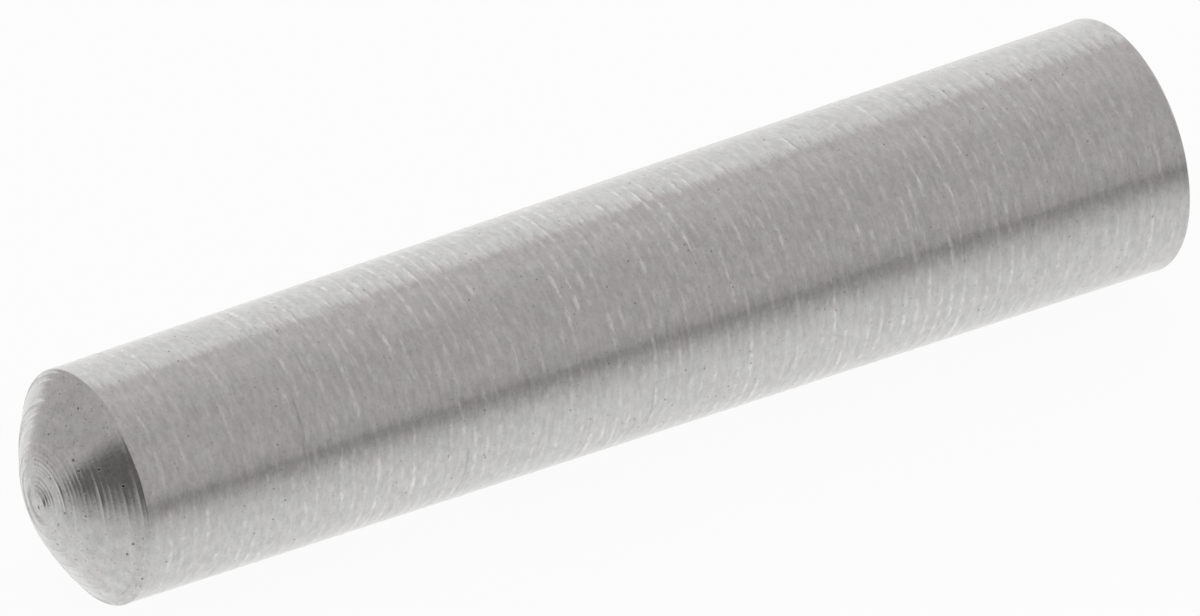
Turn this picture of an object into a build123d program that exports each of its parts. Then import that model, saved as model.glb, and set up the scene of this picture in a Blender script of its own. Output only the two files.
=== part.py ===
"""Plain taper pin, turned from one bar: a 1 in 50 seat between a crowned small end and a shallow domed head."""

from math import asin, cos, degrees, radians, sin, tan
import os

from build123d import *

# The pin lies along X. The small end's rim is at x = 0 and the head is towards +X.
small_diameter = 4.0  # across the small end's rim, the pin's nominal size
seat_length = 20.0  # along the axis, from rim to rim
taper = 1 / 50  # growth in diameter for each unit of length

# The small end is a blunt point: a rounded shoulder, a straight flank and a ball crown.
# Both slopes are measured from a plane square to the axis.
rim_slope = 42.0  # degrees, where the point meets the seat
flank_slope = 31.5  # degrees, along the straight flank
shoulder_radius_ratio = 0.75  # shoulder radius for each unit of the small diameter
crown_radius_ratio = 0.575  # crown radius for each unit of the small diameter

# A low disc stands on the crown, where the pin was parted from its bar.
pip_diameter = 0.44
pip_height = 0.035  # from the crown's pole to the disc's face
pip_round = 0.02  # rounding of the disc's edge

head_height = 0.5  # height of the large end's dome above its rim
rim_break = 0.04  # radius that takes the sharpness off both rims

small_radius = small_diameter / 2
large_radius = small_radius + seat_length * taper / 2
shoulder_radius = shoulder_radius_ratio * small_diameter
crown_radius = crown_radius_ratio * small_diameter
pip_radius = pip_diameter / 2

# Each zone of the point takes up part of the way in to the axis, and rises by its slope.
shoulder_width = shoulder_radius * (sin(radians(rim_slope)) - sin(radians(flank_slope)))
shoulder_rise = shoulder_radius * (cos(radians(flank_slope)) - cos(radians(rim_slope)))
crown_width = crown_radius * sin(radians(flank_slope))
crown_rise = crown_radius * (1 - cos(radians(flank_slope)))
flank_width = small_radius - shoulder_width - crown_width
flank_rise = flank_width * tan(radians(flank_slope))
point_height = shoulder_rise + flank_rise + crown_rise

pip_face_x = -(point_height + pip_height)
crown_centre_x = crown_radius - point_height
pip_foot_angle = degrees(asin(pip_radius / crown_radius))
pip_foot_x = crown_centre_x - crown_radius * cos(radians(pip_foot_angle))

# The head's dome is part of a ball whose centre lies on the axis.
head_radius = (large_radius**2 + head_height**2) / (2 * head_height)
head_half_angle = degrees(asin(large_radius / head_radius))
head_top_x = seat_length + head_height

with BuildPart() as taper_pin:
    # Half of the section through the axis, from the pip outwards and along to the head.
    with BuildSketch(Plane.XZ) as half_section:
        with BuildLine():
            Polyline((pip_face_x, 0), (pip_face_x, pip_radius), (pip_foot_x, pip_radius))
            crown = CenterArc(
                center=(crown_centre_x, 0),
                radius=crown_radius,
                start_angle=180 - pip_foot_angle,
                arc_size=pip_foot_angle - flank_slope,
            )
            flank = PolarLine(
                start=crown @ 1,
                length=flank_width / cos(radians(flank_slope)),
                angle=90 - flank_slope,
            )
            shoulder = JernArc(
                start=flank @ 1,
                tangent=flank % 1,
                radius=shoulder_radius,
                arc_size=flank_slope - rim_slope,
            )
            Line(shoulder @ 1, (seat_length, large_radius))
            head = CenterArc(
                center=(head_top_x - head_radius, 0),
                radius=head_radius,
                start_angle=head_half_angle,
                arc_size=-head_half_angle,
            )
            Line(head @ 1, (pip_face_x, 0))
        make_face()
        fillet(half_section.vertices().sort_by(Axis.Y)[-2:], radius=rim_break)
        fillet(half_section.vertices().sort_by_distance((pip_face_x, pip_radius))[0], radius=pip_round)
    revolve(axis=Axis.X)

taper_pin.part.label = "taper_pin"

os.makedirs("parts", exist_ok=True)
export_step(taper_pin.part, "parts/taper_pin.step")

print(f"large rim {2 * large_radius:.2f} mm, point {point_height:.3f} mm, overall {head_top_x - pip_face_x:.3f} mm")
print(f"volume {taper_pin.part.volume:.1f} cubic mm")
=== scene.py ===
"""Looks of a turned steel taper pin, lying on a pale floor in soft light."""

from math import asin, cos, hypot, pi, radians, sin, tan

import bpy
import numpy as np
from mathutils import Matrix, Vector


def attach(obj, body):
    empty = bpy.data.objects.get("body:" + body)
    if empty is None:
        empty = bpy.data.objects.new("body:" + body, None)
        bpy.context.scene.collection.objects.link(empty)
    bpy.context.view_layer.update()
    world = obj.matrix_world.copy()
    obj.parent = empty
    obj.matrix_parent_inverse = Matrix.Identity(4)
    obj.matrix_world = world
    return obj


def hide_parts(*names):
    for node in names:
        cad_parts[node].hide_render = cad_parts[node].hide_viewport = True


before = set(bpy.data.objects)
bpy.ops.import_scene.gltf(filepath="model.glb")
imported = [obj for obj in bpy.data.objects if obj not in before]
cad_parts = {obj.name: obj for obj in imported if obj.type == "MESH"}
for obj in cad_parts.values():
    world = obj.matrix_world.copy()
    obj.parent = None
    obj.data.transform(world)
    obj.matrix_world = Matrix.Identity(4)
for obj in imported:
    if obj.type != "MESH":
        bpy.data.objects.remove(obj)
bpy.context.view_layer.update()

MM = 0.001
NODE = "taper_pin"
rng = np.random.default_rng(41)

# The pin's nominal sizes, in millimetres. Its axis is X and the small end's rim is at x = 0.
SMALL_RADIUS = 2.0
SEAT_LENGTH = 20.0
TAPER = 1 / 50
LARGE_RADIUS = SMALL_RADIUS + SEAT_LENGTH * TAPER / 2
RIM_SLOPE = radians(42.0)
FLANK_SLOPE = radians(31.5)
SHOULDER_RADIUS = 0.75 * 2 * SMALL_RADIUS
CROWN_RADIUS = 0.575 * 2 * SMALL_RADIUS
PIP_RADIUS = 0.22
PIP_HEIGHT = 0.035
HEAD_HEIGHT = 0.5
RIM_BREAK = 0.04

# Share of the radius by which the flat facets of the CAD mesh fall short of its round form.
FACET_CUT = 0.0024

# Points round the pin, along each rim's arc and along the arc of the pip's edge.
AROUND = 132
RIM_POINTS = 6
PIP_EDGE_POINTS = 4

# The pip's face is worn to a low dome. In millimetres: its first ring's radius, its depth at the centre
# and at the edge, the rounding of the edge, and how uneven the face is.
PIP_RINGS = 9
PIP_CENTRE = 0.008
PIP_CENTRE_DEPTH = 0.003
PIP_EDGE_DEPTH = 0.014
PIP_EDGE_RADIUS = 0.016
PIP_UNEVEN = 0.0014

# A raised ring runs round the pip's foot: how far out it starts, and how high.
FOOT_OUT = 0.002
FOOT_UP = 0.010

# Ridges round the pip: distance from its foot, and depth inside, on and outside the ridge.
PIP_RIDGES = [
    (0.050, -0.006, -0.010, 0.006),
    (0.115, 0.008, 0.000, 0.010),
    (0.185, 0.010, 0.002, 0.010),
]
PIP_RIDGE_INSIDE = 0.022
PIP_RIDGE_OUTSIDE = 0.018
PIP_RIDGE_UNEVEN = 0.002

# Turning marks, in millimetres: the tool leaves a low ridge behind it on each turn of the work.
# On the small end they lie between two distances, from the pip's foot and from the rim. The feed and the
# ridge's half width grow by these amounts on the way, and the last ridge is higher by a share.
END_FEED = 0.05
END_FEED_GROWTH = 0.09
END_FIRST = 0.27
END_LAST = 0.12
END_RIDGE = 0.006
END_RIDGE_HALF = 0.010
END_RIDGE_HALF_GROWTH = 0.004
END_LAST_SHARE = 1.1
END_TROUGH = 1.5 * END_RIDGE

# On the seat each ridge is torn to strokes. A stroke's height is a share of the ridge, and so is the
# trough's depth. The strokes fade between two shares of the seat's length, to a share of their height.
SEAT_FEED = 0.23
SEAT_RIDGE = 0.0055
SEAT_TROUGH = 1.15
SEAT_STROKE = 0.50
SEAT_STROKE_LIMIT = 1.15
SEAT_FADE = (0.78, 0.92)
SEAT_FADED = 0.6
RIM_BURR = 0.035

HEAD_FEED = 0.11
HEAD_RIDGE_HALF = 0.018

# Rings across one ridge of the seat: distance from its crest, and share of its height.
RIDGE_SECTION = [(-0.052, 0.0), (-0.024, 0.65), (0.0, 1.0), (0.024, 0.65), (0.052, 0.0), (0.115, 0.0)]

# Where the finish changes from the small end's to the seat's, in millimetres along the surface from the
# pip's centre.
SEAT_STARTS = (2.1, 2.6)

# Strength of the light from each part of the tent that stands round the pin, and how slowly its floor
# brightens from the horizon down.
WALL_LIGHT = 0.60
CEILING_LIGHT = 0.73
BACK_PANEL_LIGHT = 1.03
SIDE_PANEL_LIGHT = 0.95
LOW_WALL_LIGHT = 0.53
WALL_FOOT_LIGHT = 0.385
OPENING_LIGHT = 0.175
FLOOR_LIGHT = 1.0
FLOOR_FADE = 0.109

# Half the floor's side, in metres, and the share of plain white that the camera sees in it.
FLOOR_HALF = 3.0
FLOOR_WHITE = 0.94


def rounded_corner(corner, before, after, radius, count):
    """Arc that rounds a corner, and the length it takes off each side."""
    before = Vector(before).normalized()
    after = Vector(after).normalized()
    turn = before.angle(after)
    trim = radius * tan(turn / 2)
    inward = (after - before).normalized()
    centre = Vector(corner) + inward * (radius / cos(turn / 2))
    first = Vector(corner) - before * trim - centre
    side = 1 if before.x * after.y - before.y * after.x > 0 else -1
    points = []
    for i in range(count):
        swing = side * turn * i / (count - 1)
        x = first.x * cos(swing) - first.y * sin(swing)
        y = first.x * sin(swing) + first.y * cos(swing)
        points.append((centre.x + x, centre.y + y))
    return points, trim


class SmallEnd:
    """The blunt point's line, by distance along it from the pip's foot to the rim."""

    def __init__(self):
        self.shoulder_width = SHOULDER_RADIUS * (sin(RIM_SLOPE) - sin(FLANK_SLOPE))
        self.shoulder_rise = SHOULDER_RADIUS * (cos(FLANK_SLOPE) - cos(RIM_SLOPE))
        flank_width = SMALL_RADIUS - self.shoulder_width - CROWN_RADIUS * sin(FLANK_SLOPE)
        crown_rise = CROWN_RADIUS * (1 - cos(FLANK_SLOPE))
        self.height = self.shoulder_rise + flank_width * tan(FLANK_SLOPE) + crown_rise
        self.foot_angle = asin(PIP_RADIUS / CROWN_RADIUS)
        self.crown_length = CROWN_RADIUS * (FLANK_SLOPE - self.foot_angle)
        self.flank_length = flank_width / cos(FLANK_SLOPE)
        shoulder_length = SHOULDER_RADIUS * (RIM_SLOPE - FLANK_SLOPE)
        self.length = self.crown_length + self.flank_length + shoulder_length

    def point(self, way):
        """Place and radius on the crown, the flank or the shoulder."""
        if way < self.crown_length:
            angle = self.foot_angle + way / CROWN_RADIUS
            return CROWN_RADIUS * (1 - cos(angle)) - self.height, CROWN_RADIUS * sin(angle)
        back = self.crown_length + self.flank_length - way
        if back > 0:
            x = -self.shoulder_rise - back * sin(FLANK_SLOPE)
            return x, SMALL_RADIUS - self.shoulder_width - back * cos(FLANK_SLOPE)
        angle = RIM_SLOPE - (self.length - way) / SHOULDER_RADIUS
        x = SHOULDER_RADIUS * (cos(RIM_SLOPE) - cos(angle))
        return x, SMALL_RADIUS - SHOULDER_RADIUS * (sin(RIM_SLOPE) - sin(angle))


def ripple(rows, along, around):
    """Smooth random numbers in rows that close round the pin, about 0 with a spread of 1.

    They are smooth over a distance along, in rows, and over an angle around, in radians.
    """
    noise = np.fft.rfft2(rng.normal(0, 1, (rows, AROUND)))
    across = np.fft.fftfreq(rows)[:, None] * 2 * pi * along
    ring = np.fft.rfftfreq(AROUND, 1 / AROUND) * around
    smooth = np.fft.irfft2(noise * np.exp(-0.5 * (across**2 + ring**2)), (rows, AROUND))
    return smooth / smooth.std()


def ridge_heights(mean, spread, low, high, rows, along, around):
    """Heights of low ridges in millimetres, from smooth shares of a full one between two limits."""
    return END_RIDGE * np.clip(mean + spread * ripple(rows, along, around), low, high)


class Rings:
    """Every ring of the pin, from the pip's centre to the head's.

    Each has its x and its radius on the nominal form, how deep under that it lies at every point round
    the pin, and its share of a torn crest there.
    """

    def __init__(self):
        self.rings = []
        self.add_pip_and_end()
        self.add_seat_and_head()

    def add(self, x, r, depth=0.0, crest=0.0):
        self.rings.append((x, r, depth + np.zeros(AROUND), crest + np.zeros(AROUND)))

    def add_pip_and_end(self):
        end = SmallEnd()
        pip_x = -(end.height + PIP_HEIGHT)
        corner = (pip_x + PIP_EDGE_DEPTH, PIP_RADIUS)
        edge, trim = rounded_corner(corner, (0, 1), (1, 0), PIP_EDGE_RADIUS, PIP_EDGE_POINTS)
        worn = ripple(PIP_RINGS, along=1.0, around=0.5)
        face = PIP_RADIUS - trim
        for i, r in enumerate(np.linspace(PIP_CENTRE, face, PIP_RINGS)):
            sunk = PIP_CENTRE_DEPTH + (PIP_EDGE_DEPTH - PIP_CENTRE_DEPTH) * (r / face) ** 2
            self.add(pip_x, r, sunk + PIP_UNEVEN * worn[i] * (i > 0))
        for x, r in edge[1:]:
            self.add(x, r)
        self.add(end.point(0)[0] - FOOT_UP, PIP_RADIUS + FOOT_OUT)

        # A raised ring and two low ridges stand round the pip.
        for mark, inner, top, outer in PIP_RIDGES:
            self.add(*end.point(mark - PIP_RIDGE_INSIDE), inner)
            self.add(*end.point(mark), top + PIP_RIDGE_UNEVEN * worn[0])
            self.add(*end.point(mark + PIP_RIDGE_OUTSIDE), outer)

        # Fine ridges follow, wider apart towards the rim. Each varies along itself and from its neighbours.
        marks = [END_FIRST]
        while marks[-1] < end.length - END_LAST:
            marks.append(marks[-1] + END_FEED + END_FEED_GROWTH * marks[-1] / end.length)
        shape = {"rows": len(marks), "along": 0.1, "around": 0.25}
        height = ridge_heights(mean=0.55, spread=0.45, low=0.0, high=1.3, **shape)
        height *= rng.uniform(low=0.3, high=1.25, size=(len(marks), 1))
        height[-1:] = END_LAST_SHARE * END_RIDGE
        for i, mark in enumerate(marks):
            half = END_RIDGE_HALF + END_RIDGE_HALF_GROWTH * mark / end.length
            self.add(*end.point(mark - half), END_TROUGH)
            self.add(*end.point(mark), END_TROUGH - height[i], height[i] / END_RIDGE)
            self.add(*end.point(mark + half), END_TROUGH)

    def add_seat_and_head(self):
        head_radius = (LARGE_RADIUS**2 + HEAD_HEIGHT**2) / (2 * HEAD_HEIGHT)
        head_slope = asin(LARGE_RADIUS / head_radius)
        rim_way = (sin(RIM_SLOPE), cos(RIM_SLOPE))
        seat_way = (SEAT_LENGTH, LARGE_RADIUS - SMALL_RADIUS)
        head_way = (sin(head_slope), -cos(head_slope))
        far_corner = (SEAT_LENGTH, LARGE_RADIUS)
        rim, trim = rounded_corner((0, SMALL_RADIUS), rim_way, seat_way, RIM_BREAK, RIM_POINTS)
        far_rim, far_trim = rounded_corner(far_corner, seat_way, head_way, RIM_BREAK, RIM_POINTS)
        for x, r in rim:
            self.add(x, r)

        # The tears are of two lengths, and stronger in some patches and turns than in others.
        first = trim + RIM_BURR
        last = SEAT_LENGTH - far_trim - RIM_BURR
        count = int((last - first) / SEAT_FEED)
        torn = 0.28 * ripple(count, along=0.1, around=0.045) + 0.18 * ripple(count, along=0.1, around=0.18)
        patch = 0.10 * ripple(count, along=3.0, around=0.35) + rng.normal(0, 0.05, (count, 1))
        fade = np.interp(np.arange(count) / count, SEAT_FADE, (1.0, SEAT_FADED))[:, None]
        stroke = np.clip(SEAT_STROKE + torn + patch, 0.0, SEAT_STROKE_LIMIT) * fade
        self.add_on_seat(first, SEAT_RIDGE)
        for i in range(count):
            crest = first + (i + 0.5) * SEAT_FEED
            for offset, share in RIDGE_SECTION:
                depth = SEAT_RIDGE * (SEAT_TROUGH - share * stroke[i])
                self.add_on_seat(crest + offset, depth, share * stroke[i])
        self.add_on_seat(last, SEAT_RIDGE)
        for x, r in far_rim:
            self.add(x, r)

        turns = int(head_radius * head_slope / HEAD_FEED)
        shape = {"rows": turns, "along": 0.1, "around": 0.35}
        height = ridge_heights(mean=0.6, spread=0.3, low=0.05, high=1.2, **shape)
        for i in range(turns):
            slope = head_slope * (1 - (i + 0.5) / turns)
            for offset, share in ((HEAD_RIDGE_HALF, 0.0), (0.0, 1.0), (-HEAD_RIDGE_HALF, 0.0)):
                angle = slope + offset / head_radius
                x = SEAT_LENGTH + HEAD_HEIGHT - head_radius * (1 - cos(angle))
                self.add(x, head_radius * sin(angle), END_TROUGH - share * height[i])

    def add_on_seat(self, x, depth, crest=0.0):
        self.add(x, SMALL_RADIUS + x * TAPER / 2, depth, crest)


def pin_mesh():
    """The pin's whole surface, turned about X, with the marks of its turning and its wear."""
    rings = Rings().rings
    points = np.array([ring[:2] for ring in rings])
    depth = np.array([ring[2] for ring in rings])
    crest = np.array([ring[3] for ring in rings])
    steps = np.hypot(*np.diff(points, axis=0).T)
    along = np.concatenate([[0.0], np.cumsum(steps)])
    tangent = np.gradient(points, along, axis=0)
    tangent /= np.linalg.norm(tangent, axis=1)[:, None]
    x = points[:, :1] + tangent[:, 1:] * depth
    r = points[:, 1:] - tangent[:, :1] * depth
    r *= 1 - FACET_CUT * np.clip(points[:, :1] / SEAT_LENGTH, 0, 1)

    angles = np.arange(AROUND) * 2 * pi / AROUND
    coords = np.stack([x, r * np.cos(angles), r * np.sin(angles)], -1) * MM
    tips = [(x[0, 0] * MM, 0, 0), ((SEAT_LENGTH + HEAD_HEIGHT - END_RIDGE) * MM, 0, 0)]
    verts = np.concatenate([coords.reshape(-1, 3), tips])
    here = np.arange(AROUND)
    beside = (here + 1) % AROUND
    faces = []
    for i in range(len(rings) - 1):
        near = i * AROUND
        far = near + AROUND
        faces += np.stack([near + here, near + beside, far + beside, far + here], 1).tolist()
    last = (len(rings) - 1) * AROUND
    faces += np.stack([np.full(AROUND, len(verts) - 2), beside, here], 1).tolist()
    faces += np.stack([np.full(AROUND, len(verts) - 1), last + here, last + beside], 1).tolist()
    mesh = bpy.data.meshes.new("pin_steel")
    mesh.from_pydata(verts.tolist(), [], faces)
    mesh.shade_smooth()
    line = mesh.attributes.new("along", "FLOAT", "POINT")
    line.data.foreach_set("value", np.concatenate([np.repeat(along, AROUND), along[[0, -1]]]))
    # The crest share also places the painted highlight on the crests, and the painted shade between them,
    # in the steel's colour.
    torn = mesh.attributes.new("crest", "FLOAT", "POINT")
    torn.data.foreach_set("value", np.concatenate([crest.ravel(), [0, 0]]))
    mesh.validate()
    return mesh


class Nodes:
    """Short calls for building a node tree."""

    def __init__(self, tree):
        self.tree = tree
        tree.nodes.clear()

    def add(self, kind, inputs=None, **settings):
        node = self.tree.nodes.new(kind)
        for name, value in settings.items():
            setattr(node, name, value)
        for name, value in (inputs or {}).items():
            if isinstance(value, bpy.types.NodeSocket):
                self.tree.links.new(value, node.inputs[name])
            else:
                node.inputs[name].default_value = value
        return node

    def math(self, operation, first, second=0.0, third=0.0):
        inputs = {0: first, 1: second, 2: third}
        return self.add("ShaderNodeMath", inputs, operation=operation).outputs[0]

    def times(self, first, second):
        return self.math("MULTIPLY", first, second)

    def ramp(self, value, low, high, bottom=0.0, top=1.0):
        """Smooth step from one value to another."""
        node = self.add(
            "ShaderNodeMapRange",
            {"Value": value, "From Min": low, "From Max": high, "To Min": bottom, "To Max": top},
            interpolation_type="SMOOTHSTEP",
        )
        return node.outputs["Result"]

    def blend(self, base, value, mask):
        """Base where the mask is 0, value where it is 1."""
        return self.math("MULTIPLY_ADD", mask, self.math("SUBTRACT", value, base), base)

    def mix(self, first, second, mask):
        """Colour mix of two colours."""
        node = self.add("ShaderNodeMix", {"Factor": mask, 6: first, 7: second}, data_type="RGBA")
        return node.outputs[2]


class Steel:
    """Turned steel: streaks along the turning marks, torn crests with a painted highlight on them and
    painted shade between them, faint tints, scratches and dark pits.
    """

    def __init__(self):
        self.material = bpy.data.materials.new("turned_steel")
        self.material.use_nodes = True
        self.n = n = Nodes(self.material.node_tree)
        self.place = n.add("ShaderNodeTexCoord").outputs["Object"]
        self.split = n.add("ShaderNodeSeparateXYZ", {0: self.place}).outputs
        self.along = n.add("ShaderNodeAttribute", attribute_name="along").outputs["Fac"]
        self.crest = n.add("ShaderNodeAttribute", attribute_name="crest").outputs["Fac"]
        self.on_seat = n.ramp(self.along, *SEAT_STARTS)
        self.broad = self.streaks(fineness=6.0, shortness=1.6, detail=2.0)
        self.short = self.streaks(fineness=14.0, shortness=3.4, detail=2.0, offset=40.0)
        self.fine = self.streaks(fineness=26.0, shortness=3.6, detail=1.0, offset=90.0)
        self.patch = n.ramp(self.cloud(0.9, 1.0), 0.38, 0.66, 0.6, 1.4)
        self.grain = n.math("SUBTRACT", self.cloud(20.0, 2.0), 0.5)
        self.pit = self.pits()

        rough = n.ramp(n.math("ADD", self.short, self.grain), -0.25, 0.25, 0.13, 0.19)
        bump = n.add("ShaderNodeBump", {"Height": self.height(), "Strength": 1.0, "Distance": 0.009 * MM})
        tangent = n.add("ShaderNodeTangent", direction_type="RADIAL", axis="X")
        shader = n.add(
            "ShaderNodeBsdfPrincipled",
            {
                "Base Color": self.color(),
                "Metallic": 1.0,
                "Roughness": rough,
                "Anisotropic": 0.3,
                "Anisotropic Rotation": 0.25,
                "Normal": bump.outputs[0],
                "Tangent": tangent.outputs[0],
            },
        )
        n.add("ShaderNodeOutputMaterial", {"Surface": shader.outputs[0]})

    def streaks(self, fineness, shortness, detail, offset=0.0):
        """Noise about 0, drawn out round the pin. Both rates are in waves for each millimetre."""
        n = self.n
        vector = n.add(
            "ShaderNodeCombineXYZ",
            {
                0: n.math("MULTIPLY_ADD", self.along, fineness, offset),
                1: n.times(self.split[1], shortness / MM),
                2: n.times(self.split[2], shortness / MM),
            },
        ).outputs[0]
        settings = {"Vector": vector, "Scale": 1.0, "Detail": detail, "Roughness": 0.6}
        return n.math("SUBTRACT", n.add("ShaderNodeTexNoise", settings).outputs["Fac"], 0.5)

    def cloud(self, rate, detail):
        """Noise from 0 to 1 that is even in all directions, in waves for each millimetre."""
        settings = {"Vector": self.place, "Scale": rate / MM, "Detail": detail}
        return self.n.add("ShaderNodeTexNoise", settings).outputs["Fac"]

    def pits(self):
        """Small dark spots of several sizes, each at the heart of a cell, larger on the small end."""
        n = self.n
        settings = {"Vector": self.place, "Scale": 5.5 / MM, "Randomness": 1.0}
        cells = n.add("ShaderNodeTexVoronoi", settings).outputs
        chance = n.add("ShaderNodeSeparateColor", {0: cells["Color"]}).outputs[0]
        size = n.times(n.ramp(chance, 0.1, 1.0, 0.0, 0.115), n.blend(1.35, 0.85, self.on_seat))
        inside = n.ramp(n.math("SUBTRACT", cells["Distance"], size), -0.025, 0.025, 1.0, 0.0)
        return n.times(inside, n.ramp(size, 0.01, 0.08))

    def woven(self, short, fine, broad):
        """The three streaks by their amounts, weaker on the small end, and in some patches."""
        n = self.n
        total = n.times(self.short, short)
        total = n.math("MULTIPLY_ADD", self.fine, fine, total)
        total = n.math("MULTIPLY_ADD", self.broad, broad, total)
        return n.times(n.times(total, n.blend(0.5, 1.0, self.on_seat)), self.patch)

    def layer(self, total, value, end_amount, seat_amount=None):
        """Adds a value by its amount, which may differ between the small end and the seat."""
        amount = end_amount
        if seat_amount is not None:
            amount = self.n.blend(end_amount, seat_amount, self.on_seat)
        return self.n.math("MULTIPLY_ADD", value, amount, total)

    def painted_crest_highlights_and_trough_shade(self):
        """Painted highlights in spots along the torn crests, and painted shade in strokes between them on
        the seat.
        """
        n = self.n
        # Painted highlight: bright spots laid into the colour along the crests; painted shade: darker
        # strokes in the troughs of the seat.
        crest_highlight_spots = n.ramp(self.streaks(10.0, 6.5, 1.0, 60.0), -0.11, 0.14, 0.0, 0.27)
        painted_trough_shade = n.ramp(self.streaks(11.0, 4.5, 1.0, 160.0), -0.14, 0.14, 0.0, -0.09)
        bright = n.times(n.times(self.crest, crest_highlight_spots), n.blend(0.6, 1.0, self.on_seat))
        troughs = n.times(n.math("SUBTRACT", 1.0, self.crest), self.on_seat)
        return n.math("MULTIPLY_ADD", troughs, painted_trough_shade, bright)

    def color(self):
        """A pale steel between a rosy and a mossy tint, shaded by all the marks on it, with a painted
        highlight on the torn crests and painted shade in the troughs between them.
        """
        n = self.n
        blotch = n.math("SUBTRACT", self.cloud(5.0, 3.0), 0.5)
        speck = n.ramp(self.cloud(26.0, 1.0), 0.67, 0.76)
        scratch = n.ramp(self.streaks(9.0, 0.5, 1.0, 130.0), 0.20, 0.27)
        shade = self.woven(short=0.17, fine=0.12, broad=0.10)
        shade = self.layer(shade, self.grain, 0.19)
        shade = self.layer(shade, blotch, 0.46, 0.14)
        shade = self.layer(shade, speck, -0.55, -0.25)
        shade = self.layer(shade, scratch, -0.16)
        even = n.blend(0.975, 1.018, self.on_seat)
        # The painted highlight on the crests and the painted shade in the troughs are added to the colour
        # here.
        shade = n.math("ADD", self.painted_crest_highlights_and_trough_shade(), n.math("ADD", shade, even))
        shade = self.layer(shade, self.pit, -0.6, -0.45)
        rosy = (0.560, 0.549, 0.549, 1)
        mossy = (0.549, 0.556, 0.546, 1)
        drift = n.math("ADD", self.streaks(3.2, 2.4, 1.0, 7.0), 0.5)
        hue = n.mix(rosy, mossy, n.ramp(drift, 0.36, 0.64))
        return n.add("ShaderNodeVectorMath", {0: hue, "Scale": shade}, operation="SCALE").outputs[0]

    def height(self):
        height = self.woven(short=0.5, fine=0.25, broad=0.35)
        height = self.layer(height, self.grain, 0.06)
        return self.layer(height, self.pit, -0.6)


def floor_material():
    """Pale floor that shows white, with the pin's faint shadow left on it."""
    material = bpy.data.materials.new("pale_floor")
    material.use_nodes = True
    n = Nodes(material.node_tree)
    matte = n.add("ShaderNodeBsdfDiffuse", {"Color": (0.90, 0.90, 0.90, 1)})
    bright = n.add("ShaderNodeEmission", {"Color": (1, 1, 1, 1), "Strength": 1.0})
    path = n.add("ShaderNodeLightPath")
    share = n.times(path.outputs["Is Camera Ray"], FLOOR_WHITE)
    mix = n.add("ShaderNodeMixShader", {0: share, 1: matte.outputs[0], 2: bright.outputs[0]})
    n.add("ShaderNodeOutputMaterial", {"Surface": mix.outputs[0]})
    return material


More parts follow.
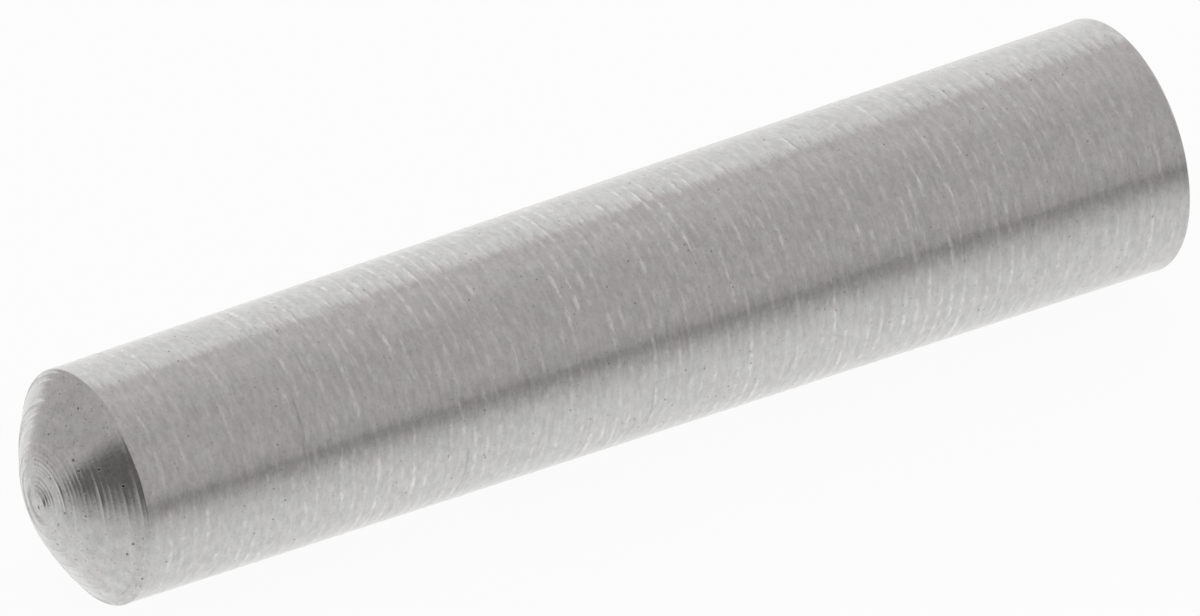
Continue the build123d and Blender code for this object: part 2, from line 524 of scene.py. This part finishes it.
def studio_world():
    """A soft tent: a floor that fades with distance, grey walls, two bright panels and a dark opening.

    Angles are in degrees: compass directions from +X towards +Y, and elevations. The camera itself
    sees plain white.
    """
    world = bpy.data.worlds.new("studio")
    bpy.context.scene.world = world
    world.use_nodes = True
    n = Nodes(world.node_tree)
    way = n.add("ShaderNodeTexCoord").outputs["Generated"]
    x, y, z = n.add("ShaderNodeSeparateXYZ", {0: way}).outputs
    level = n.add("ShaderNodeCombineXYZ", {0: x, 1: y}).outputs[0]
    flat = n.add("ShaderNodeVectorMath", {0: level}, operation="NORMALIZE").outputs[0]

    def lean(azimuth, elevation, direction=way):
        """How far a direction leans towards a point of the sky: 1 at it, 0 square to it."""
        azimuth, elevation = radians(azimuth), radians(elevation)
        pole = (cos(azimuth) * cos(elevation), sin(azimuth) * cos(elevation), sin(elevation))
        node = n.add("ShaderNodeVectorMath", {0: direction, 1: pole}, operation="DOT_PRODUCT")
        return node.outputs["Value"]

    def sector(start, end, soft):
        """1 between two compass directions, with soft sides."""
        half = (end - start) / 2
        side = lean((start + end) / 2, 0, flat)
        return n.ramp(side, cos(radians(half + soft)), cos(radians(half - soft)))

    def below(elevation, soft):
        return n.ramp(z, sin(radians(elevation - soft)), sin(radians(elevation + soft)), 1.0, 0.0)

    def above(elevation, soft):
        return n.math("SUBTRACT", 1.0, below(elevation, soft))

    ceiling = n.times(n.ramp(y, -0.38, 0.38), n.ramp(x, 0.0, 0.25))
    back_panel = n.times(n.ramp(lean(147.7, 6.3), -0.02, 0.02), sector(30, 100, 3))
    back_panel = n.times(back_panel, below(46, 2))
    side_panel = n.times(n.ramp(lean(-149.6, 28.3), -0.055, 0.025, 1.0, 0.0), sector(-60, 4, 4))
    side_panel = n.times(side_panel, n.times(above(14, 8), below(50, 3)))
    camera_side = sector(-118, -36, 8)
    low_wall = n.times(camera_side, below(10, 8))
    wall_foot = n.times(camera_side, below(1.5, 1.5))
    opening = n.times(n.ramp(lean(-108.5, -31), -0.12, 0.15), sector(150, 266, 8))
    opening = n.times(opening, below(32, 6))

    # The lit floor fades with distance, so it is darkest just below the horizon.
    down = n.math("MINIMUM", z, 0.0)
    down = n.times(down, down)
    lit_floor = n.math("DIVIDE", down, n.math("MULTIPLY_ADD", down, 1 - FLOOR_FADE, FLOOR_FADE))

    light = n.blend(WALL_LIGHT, CEILING_LIGHT, ceiling)
    light = n.blend(light, BACK_PANEL_LIGHT, back_panel)
    light = n.blend(light, SIDE_PANEL_LIGHT, side_panel)
    light = n.blend(light, LOW_WALL_LIGHT, low_wall)
    light = n.blend(light, WALL_FOOT_LIGHT, wall_foot)
    light = n.blend(light, OPENING_LIGHT, opening)
    light = n.blend(light, FLOOR_LIGHT, lit_floor)

    # The walls are faintly rosy, and the floor and the back panel faintly yellow.
    pale = n.math("MAXIMUM", lit_floor, back_panel)
    tint = n.mix((1.024, 0.988, 0.988, 1), (1.0, 1.0, 0.990, 1), pale)
    seen = n.add("ShaderNodeLightPath").outputs["Is Camera Ray"]
    light = n.blend(light, 1.0, seen)
    tint = n.mix(tint, (1, 1, 1, 1), seen)
    background = n.add("ShaderNodeBackground", {"Color": tint, "Strength": light})
    n.add("ShaderNodeOutputWorld", {"Surface": background.outputs[0]})


def floor():
    """A flat floor, tilted by half the taper, that touches the pin along its lowest line.

    The metal doesn't mirror it: what stands for it there is the lower half of the world.
    """
    slope = TAPER / 2
    lift = SMALL_RADIUS * hypot(1, slope) * MM
    mesh = bpy.data.meshes.new("floor")
    corners = [(-1, -1), (1, -1), (1, 1), (-1, 1)]
    places = [(x * FLOOR_HALF, y * FLOOR_HALF, -lift - x * FLOOR_HALF * slope) for x, y in corners]
    mesh.from_pydata(places, [], [(0, 1, 2, 3)])
    mesh.materials.append(floor_material())
    plane = bpy.data.objects.new("floor", mesh)
    bpy.context.collection.objects.link(plane)
    plane.visible_glossy = False
    plane.visible_shadow = False


def camera():
    """Long lens, from the small end's side and above, as the photograph was taken."""
    azimuth = radians(-32.42)
    elevation = radians(31.48)
    distance = 320.20 * MM
    target = Vector((9.836, 0.0, 0.166)) * MM
    away = Vector((sin(azimuth) * cos(elevation), -cos(azimuth) * cos(elevation), sin(elevation)))
    data = bpy.data.cameras.new("camera")
    data.sensor_width = 36.0
    data.lens = 586.83
    data.clip_start = 0.01
    data.clip_end = 10.0
    eye = bpy.data.objects.new("camera", data)
    eye.location = target + away * distance
    eye.rotation_euler = (-away).to_track_quat("-Z", "Y").to_euler()
    bpy.context.collection.objects.link(eye)
    bpy.context.scene.camera = eye


camera()
studio_world()
floor()

pin = bpy.data.objects.new("steel_pin", pin_mesh())
bpy.context.collection.objects.link(pin)
pin.data.materials.append(Steel().material)
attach(pin, "root")
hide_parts(NODE)

bpy.context.scene.view_settings.view_transform = "Standard"
